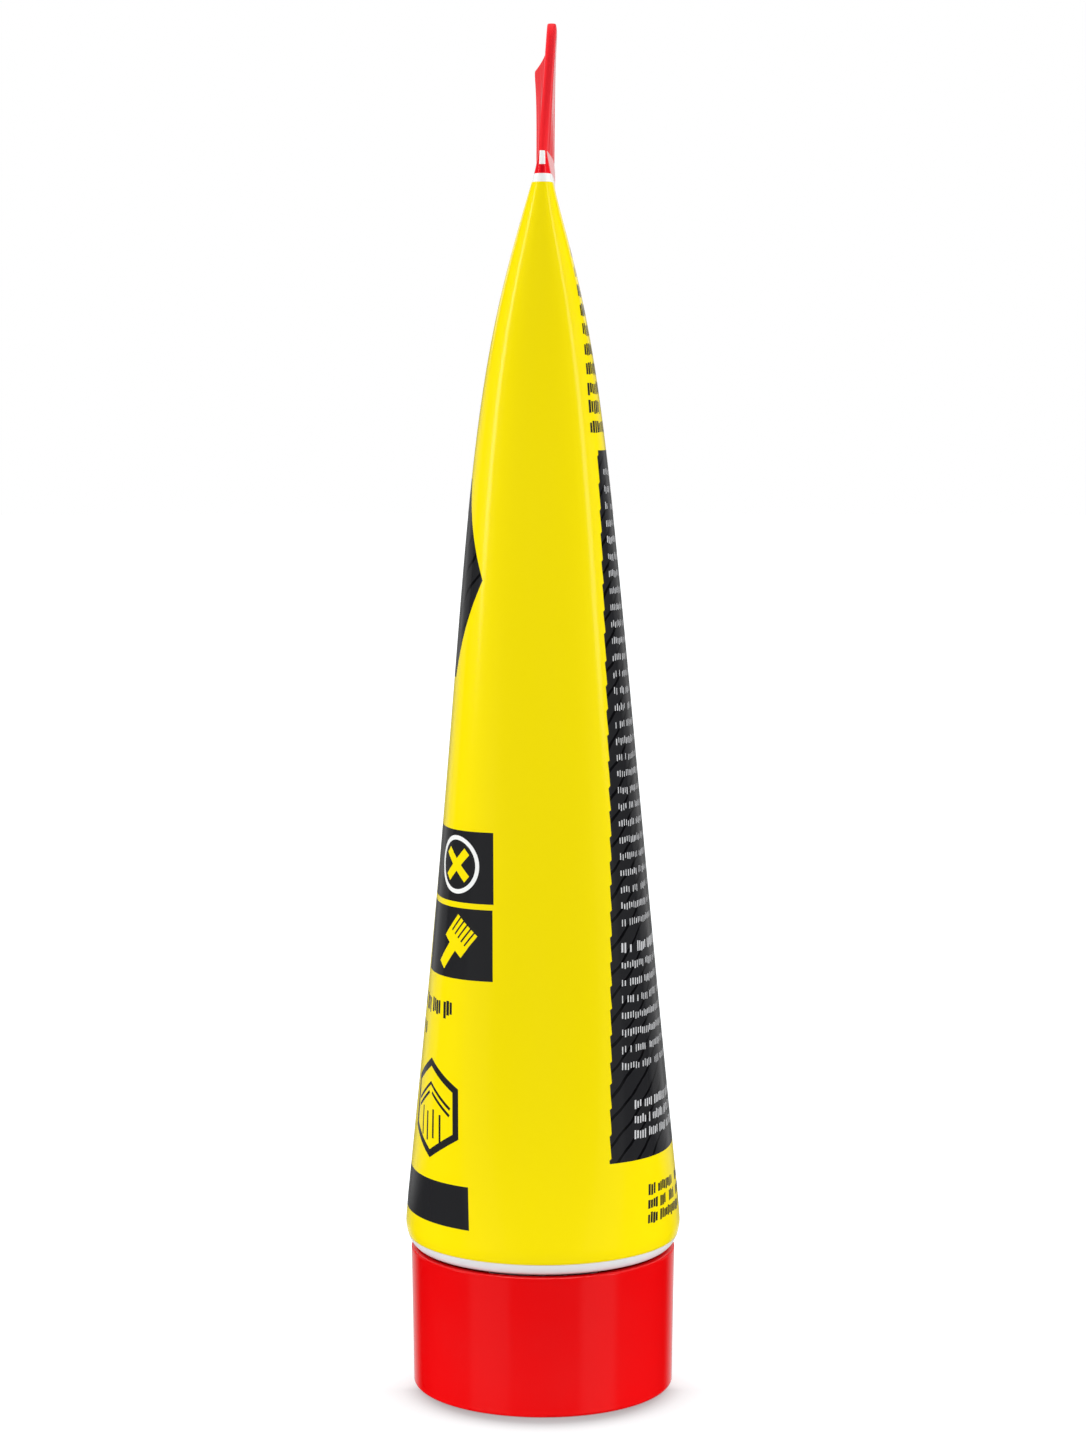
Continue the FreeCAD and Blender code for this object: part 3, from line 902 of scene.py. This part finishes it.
@dataclass
class Sleeve:
    """The printed sleeve: a thin film tube with a welded fin and a peg hole."""

    form: PressedForm
    hole_radius: float
    hole_height: float
    wall: float = 0.5
    weld_half: float = 1.1
    rim: float = 0.12
    skin: float = 0.02
    body_rows: int = 64
    fin_rows: int = 22
    edge_rows: int = 6
    inner_rows: int = 24
    merge_reach: float = 0.002
    hole_corners: int = 72
    punch_depth: float = 12.0
    rim_reach: float = 0.01
    smooth_angle: float = 38.0
    uv_map: str = "film"

    def heights(self, low: float, high: float, count: int, crowding: float) -> list[float]:
        """Heights from low to high, closer together towards high."""
        return [high - (high - low) * (1 - i / count) ** crowding for i in range(count + 1)]

    def rows(self) -> list[FilmRow]:
        """Rows of the film from the inner wall's top, round the cut end, to the fin's top edge."""
        form = self.form
        cavity_top = form.crimp
        while form.half_thickness(cavity_top) < self.weld_half:
            cavity_top -= 0.1
        edge_top = form.cut + form.edge_top
        inner = self.heights(edge_top, cavity_top, self.inner_rows, 1.6)[::-1] + [form.cut + self.rim]
        rows = [FilmRow(2 * form.cut - cavity_top - 0.6, cavity_top + 0.4, self.wall, pinched=True)]
        rows += [FilmRow(2 * form.cut - height, height, self.wall) for height in inner]
        for inset in (0.76 * self.wall, 0.24 * self.wall):
            rows.append(FilmRow(form.cut - inset, form.cut, inset))
        outer = self.heights(edge_top, form.cut + self.rim, self.edge_rows, 1.0)[::-1]
        outer += self.heights(edge_top, form.crimp, self.body_rows, 1.5)[1:]
        outer += self.heights(form.crimp, form.top - self.rim, self.fin_rows, 1.5)[1:]
        rows += [FilmRow(height, height, self.skin) for height in outer]
        turn = self.rim * 0.3
        rows.append(FilmRow(form.top - turn, form.top - turn, turn))
        rows.append(FilmRow(form.top + 0.01, form.top, self.rim))
        rows.append(FilmRow(form.top + 0.6, form.top, self.rim, pinched=True))
        return rows

    def lay_sheet(self) -> bpy.types.Object:
        """Adds the flat film as a grid, unrolled, and maps its print onto it in millimetres."""
        rows = self.rows()
        places = self.form.flat_places()
        columns = len(places) - 1
        select()
        bpy.ops.mesh.primitive_grid_add(x_subdivisions=columns, y_subdivisions=len(rows) - 1, size=1)
        sheet = bpy.context.object
        sheet.name = "printed_sleeve"
        mesh = sheet.data
        mesh.name = sheet.name
        coords = np.empty(len(mesh.vertices) * 3)
        mesh.vertices.foreach_get("co", coords)
        coords = coords.reshape(-1, 3)
        column = np.rint((coords[:, 0] + 0.5) * columns).astype(int)
        line = np.rint((coords[:, 1] + 0.5) * (len(rows) - 1)).astype(int)
        flat = np.stack((places[column], np.array([row.along for row in rows])[line]), axis=1)
        corners = np.empty(len(mesh.loops), dtype=int)
        mesh.loops.foreach_get("vertex_index", corners)
        film = mesh.uv_layers[0]
        film.name = self.uv_map
        film.data.foreach_set("uv", flat[corners].ravel())
        tube = np.stack([self.form.row_points(row) for row in rows])
        mesh.vertices.foreach_set("co", (tube[line, column] * MM).ravel())
        mesh.update()
        return sheet

    def weld(self, sheet: bpy.types.Object) -> None:
        """Welds the long seam, the fin's top edge and the top of the inner wall."""
        select(sheet)
        bpy.ops.object.mode_set(mode="EDIT")
        bpy.ops.mesh.select_all(action="SELECT")
        bpy.ops.mesh.remove_doubles(threshold=self.merge_reach * MM)
        bpy.ops.mesh.normals_make_consistent(inside=False)
        bpy.ops.object.mode_set(mode="OBJECT")

    def punch_hole(self, sheet: bpy.types.Object) -> None:
        """Cuts the peg hole through the fin and rounds its rim."""
        select()
        radius = self.hole_radius * MM
        sizes = {"vertices": self.hole_corners, "radius": radius, "depth": self.punch_depth * MM}
        place = {"location": (0, 0, self.hole_height * MM), "rotation": (0, math.pi / 2, 0)}
        bpy.ops.mesh.primitive_cylinder_add(**sizes, **place)
        punch = bpy.context.object
        cutter = sheet.modifiers.new("peg hole", "BOOLEAN")
        cutter.operation = "DIFFERENCE"
        cutter.solver = "EXACT"
        cutter.object = punch
        select(sheet)
        bpy.ops.object.modifier_apply(modifier=cutter.name)
        bpy.data.objects.remove(punch)

        bpy.ops.object.mode_set(mode="EDIT")
        bpy.ops.mesh.select_mode(type="EDGE")
        bpy.ops.mesh.select_all(action="DESELECT")
        bpy.ops.object.mode_set(mode="OBJECT")
        mesh = sheet.data
        centre = Vector((0, self.hole_height * MM))
        reach = self.rim_reach * MM
        on_rim = [abs((Vector(v.co.yz) - centre).length - radius) < reach for v in mesh.vertices]
        for edge in mesh.edges:
            first, second = (mesh.vertices[index] for index in edge.vertices)
            same_side = abs(first.co.x - second.co.x) < self.wall * MM
            edge.select = on_rim[first.index] and on_rim[second.index] and same_side
        bpy.ops.object.mode_set(mode="EDIT")
        bpy.ops.mesh.bevel(offset=self.rim * MM, segments=2, affect="EDGES")
        bpy.ops.object.mode_set(mode="OBJECT")

    def build(self) -> bpy.types.Object:
        """Makes the sleeve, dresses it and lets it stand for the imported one."""
        sheet = self.lay_sheet()
        self.weld(sheet)
        self.punch_hole(sheet)
        select(sheet)
        bpy.ops.object.shade_smooth_by_angle(angle=math.radians(self.smooth_angle))
        form = self.form
        artwork = Artwork(form.quarter, form.cut, form.crimp, form.top)
        sheet.data.materials.clear()
        sheet.data.materials.append(PrintedFilm(artwork=artwork, uv_map=self.uv_map).build())
        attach(sheet, "tube_body")
        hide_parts("sleeve")
        LOG.info("%s: %d faces", sheet.name, len(sheet.data.polygons))
        return sheet


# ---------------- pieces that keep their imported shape
@dataclass(frozen=True)
class PackedPieces:
    """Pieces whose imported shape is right, each with its own finish.

    Attributes:
        title: What the pieces are together.
        finishes: The finish of each piece, by the name of its node.
    """

    title: str
    finishes: dict[str, Finish]

    def build(self, nodes: dict[str, bpy.types.Object]) -> None:
        """Gives each piece its finish, among the frame's nodes."""
        for name, finish in self.finishes.items():
            nodes[name].material_slots[0].material = finish.build()
            LOG.info("%s: %s in %s", self.title, name, finish.name)


# ---------------- studio
@dataclass(frozen=True)
class SoftBox:
    """A soft lamp aimed at the tube.

    Attributes:
        name: Name of the lamp.
        bearing: Angle from straight in front, towards +X, in degrees.
        rise: Angle above the horizon, in degrees.
        distance: Distance from the tube's middle, in metres.
        size: Width and height, in metres.
        radiance: Brightness of its face, where 1 is white.
        in_gloss: Whether it shows in reflections.
        in_matte: Whether it lights matte surfaces.
    """

    name: str
    bearing: float
    rise: float
    distance: float
    size: tuple[float, float]
    radiance: float
    in_gloss: bool = True
    in_matte: bool = True

    def build(self, target: Vector) -> None:
        """Adds the lamp, facing the target."""
        bearing = math.radians(self.bearing)
        rise = math.radians(self.rise)
        level = self.distance * math.cos(rise)
        offset = Vector((level * math.sin(bearing), -level * math.cos(bearing), 0.0))
        offset.z = self.distance * math.sin(rise)
        select()
        bpy.ops.object.light_add(type="AREA", location=target + offset)
        lamp = bpy.context.object
        lamp.name = self.name
        lamp.data.shape = "RECTANGLE"
        lamp.data.size, lamp.data.size_y = self.size
        lamp.data.energy = self.radiance * math.pi * self.size[0] * self.size[1]
        lamp.rotation_euler = (-offset).to_track_quat("-Z", "Y").to_euler()
        lamp.visible_camera = False
        lamp.visible_glossy = self.in_gloss
        lamp.visible_diffuse = self.in_matte


@dataclass
class Studio:
    """Camera, soft light, white surround and pale floor."""

    camera_place: tuple[float, float, float] = (0.0, -0.454, 0.141)
    camera_pitch: float = 84.4
    lens: float = 78.79
    ambient: float = 0.745
    back_gloss: float = 0.2
    low_gloss: float = 0.8
    low_gloss_edge: tuple[float, float] = (-0.27, -0.235)
    back_gloss_from: float = 0.7
    floor_colour: str = "92989A"
    floor_radius: float = 4000.0
    glow_at: tuple[float, ...] = (17.7, 18.6, 19.3, 20.0, 21.0, 22.0, 23.6, 27.0, 60.0)
    floor_glow: tuple[float, ...] = (0.2, 0.27, 0.38, 0.47, 0.58, 0.66, 0.72, 0.8, 1.0)
    shadow_shift: float = 2.5
    shadow_front: tuple[float, float] = (6.0, 0.7)
    painted_bounce_glow: float = 0.38
    painted_bounce_reach: float = 60.0
    floor_fill: float = 0.25
    floor_squeeze: float = 1.05

    def build(self, low: Vector, high: Vector) -> None:
        """Makes the whole studio around the box of the object."""
        self.place_camera()
        self.light_surround()
        self.lay_floor(low.z)
        middle = (low + high) / 2
        for lamp in self.lamps():
            lamp.build(middle)
        bpy.context.scene.view_settings.view_transform = "Standard"
        LOG.info("studio: %d lamps", len(self.lamps()))

    def lamps(self) -> list[SoftBox]:
        """The studio's lamps: washes light matte surfaces, and the others only show in gloss."""
        washes = [
            ("left_wash", -78, 12, 1.2, (1.1, 1.4), 2.1),
            ("right_wash", 78, 12, 1.2, (1.1, 1.4), 2.1),
            ("overhead_wash", 0, 60, 1.3, (1.4, 1.4), 0.45),
        ]
        sheens = [
            ("left_strip", -76, 3, 1.5, (0.3, 0.4), 4.8),
            ("right_strip", 61, -1, 1.5, (0.28, 0.4), 3.7),
            ("top_strip", 0, 84, 1.1, (1.2, 1.2), 4.0),
            ("fin_backdrop", 180, 9.5, 1.5, (1.8, 0.15), 0.55),
            ("left_rear_sheen", -140, -5, 1.5, (1.0, 0.55), 0.22),
            ("right_rear_sheen", 140, -5, 1.5, (1.0, 0.55), 0.22),
            ("left_low_glint", -48, -17, 1.6, (1.0, 0.4), 0.2),
            ("right_low_glint", 50, -17, 1.6, (0.9, 0.4), 0.28),
        ]
        lamps = [SoftBox(*wash, in_gloss=False) for wash in washes]
        return lamps + [SoftBox(*sheen, in_matte=False) for sheen in sheens]

    def place_camera(self) -> None:
        """Adds the camera, nearly level with the tube's middle and looking slightly down."""
        select()
        turned = (math.radians(self.camera_pitch), 0, 0)
        bpy.ops.object.camera_add(location=self.camera_place, rotation=turned)
        camera = bpy.context.object
        camera.name = "studio_camera"
        camera.data.lens = self.lens
        camera.data.sensor_width = 36.0
        camera.data.clip_start = 0.01
        bpy.context.scene.camera = camera

    def light_surround(self) -> None:
        """Makes the world: white where it is seen, plain soft light, darker in front in reflections."""
        world = bpy.data.worlds.new("white_studio")
        world.use_nodes = True
        bpy.context.scene.world = world
        tree = world.node_tree
        background = tree.nodes["Background"]
        ray = add_node(tree, "ShaderNodeLightPath").outputs
        direction = add_node(tree, "ShaderNodeTexCoord").outputs["Object"]
        axes = add_node(tree, "ShaderNodeSeparateXYZ", {0: direction}).outputs
        low, high = self.low_gloss_edge
        behind = {"Value": axes["Z"], "From Min": low, "From Max": high}
        behind |= {"To Min": self.low_gloss, "To Max": self.back_gloss}
        rear = {"Value": axes["Y"], "From Min": self.back_gloss_from}
        rear["To Max"] = add_node(tree, "ShaderNodeMapRange", behind)
        gloss = add_node(tree, "ShaderNodeMapRange", rear, interpolation_type="SMOOTHSTEP")
        seen = ("MAXIMUM", ray["Is Camera Ray"], ray["Is Transmission Ray"])
        lighting = {"Factor": ray["Is Glossy Ray"], "A": self.ambient, "B": gloss}
        unseen = add_node(tree, "ShaderNodeMix", lighting)
        strength = add_node(tree, "ShaderNodeMix", {"Factor": seen, "A": unseen, "B": 1.0})
        feed(tree, background, {"Color": (1.0, 1.0, 1.0, 1.0), "Strength": strength})

    def lay_floor(self, height: float) -> None:
        """Lays a pale floor that reads as white; the tube's shadow on it is partly rendered, partly
        painted.
        """
        select()
        outline = {"vertices": 96, "radius": self.floor_radius * MM, "fill_type": "NGON"}
        bpy.ops.mesh.primitive_circle_add(location=(0, 0, height), **outline)
        floor = bpy.context.object
        floor.name = "studio_floor"
        material = bpy.data.materials.new("painted_floor_white")
        material.use_nodes = True
        tree = material.node_tree
        shader = tree.nodes["Principled BSDF"]
        paint = {"Base Color": linear(self.floor_colour), "Roughness": 1.0, "Specular IOR Level": 0.0}
        ray = add_node(tree, "ShaderNodeLightPath").outputs
        place = add_node(tree, "ShaderNodeTexCoord").outputs["Object"]
        # painted shadow: the glow that the camera sees dims close to the tube, most in front of it
        moved = {0: place, 1: (self.floor_squeeze, 1.0, 1.0), 2: (0.0, self.shadow_shift * MM, 0.0)}
        squeezed = add_node(tree, "ShaderNodeVectorMath", moved, operation="MULTIPLY_ADD")
        away = add_node(tree, "ShaderNodeVectorMath", {0: squeezed}, operation="LENGTH").outputs["Value"]
        reach = self.glow_at[-1]
        front, fade = self.shadow_front
        depth = add_node(tree, "ShaderNodeSeparateXYZ", {0: place}).outputs["Y"]
        rearwards = ("MAXIMUM", ("ADD", depth, front * MM), 0.0)
        faded = ("MULTIPLY_ADD", rearwards, fade, away)
        share = add_node(tree, "ShaderNodeMath", {0: faded, 1: reach * MM}, operation="DIVIDE")
        level = add_node(tree, "ShaderNodeValToRGB", {0: share})
        stops = level.color_ramp.elements
        for _ in self.floor_glow[2:]:
            stops.new(0.5)
        for stop, distance, glow in zip(stops, self.glow_at, self.floor_glow):
            stop.position = distance / reach
            stop.color = (glow, glow, glow, 1.0)
        # painted light: to all other rays the floor glows, more near the tube, which it lights from
        # below
        near = ("LESS_THAN", away, self.painted_bounce_reach * MM)
        glow_onto_tube = ("MULTIPLY_ADD", near, self.painted_bounce_glow, self.floor_fill)
        seen = {"Factor": ray["Is Camera Ray"], "A": glow_onto_tube, "B": level}
        paint["Emission Strength"] = add_node(tree, "ShaderNodeMix", seen)
        paint["Emission Color"] = (1.0, 1.0, 1.0, 1.0)
        feed(tree, shader, paint)
        material.cycles.emission_sampling = "NONE"
        floor.data.materials.append(material)
        floor.visible_glossy = False
        floor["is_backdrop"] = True


def main() -> None:
    """Builds the tube's looks around the frame, one sub-assembly after another."""
    logging.basicConfig(level=logging.INFO, format="%(name)s: %(message)s")
    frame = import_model()
    cad_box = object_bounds()
    low, high = (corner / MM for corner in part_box("sleeve"))
    peg_hole = next(mount for mount in frame["record"]["mounts"] if mount["name"] == "peg_hole")

    Studio().build(*cad_box)
    form = PressedForm(radius=high.x, cut=low.z, top=high.z)
    Sleeve(form, peg_hole["dims"]["r_mm"], peg_hole["pos_m"][2] / MM).build()
    nodes = frame["nodes"]
    PackedPieces("head", {"shoulder": SatinMoulding(), "outlet_seal": RolledFoil()}).build(nodes)
    PackedPieces("screw cap", {"cap": GlossyMoulding(), "cap_liner": SkinnedFoam()}).build(nodes)
    PackedPieces("filling", {"adhesive": FilledPaste()}).build(nodes)


if __name__ == "__main__":
    main()
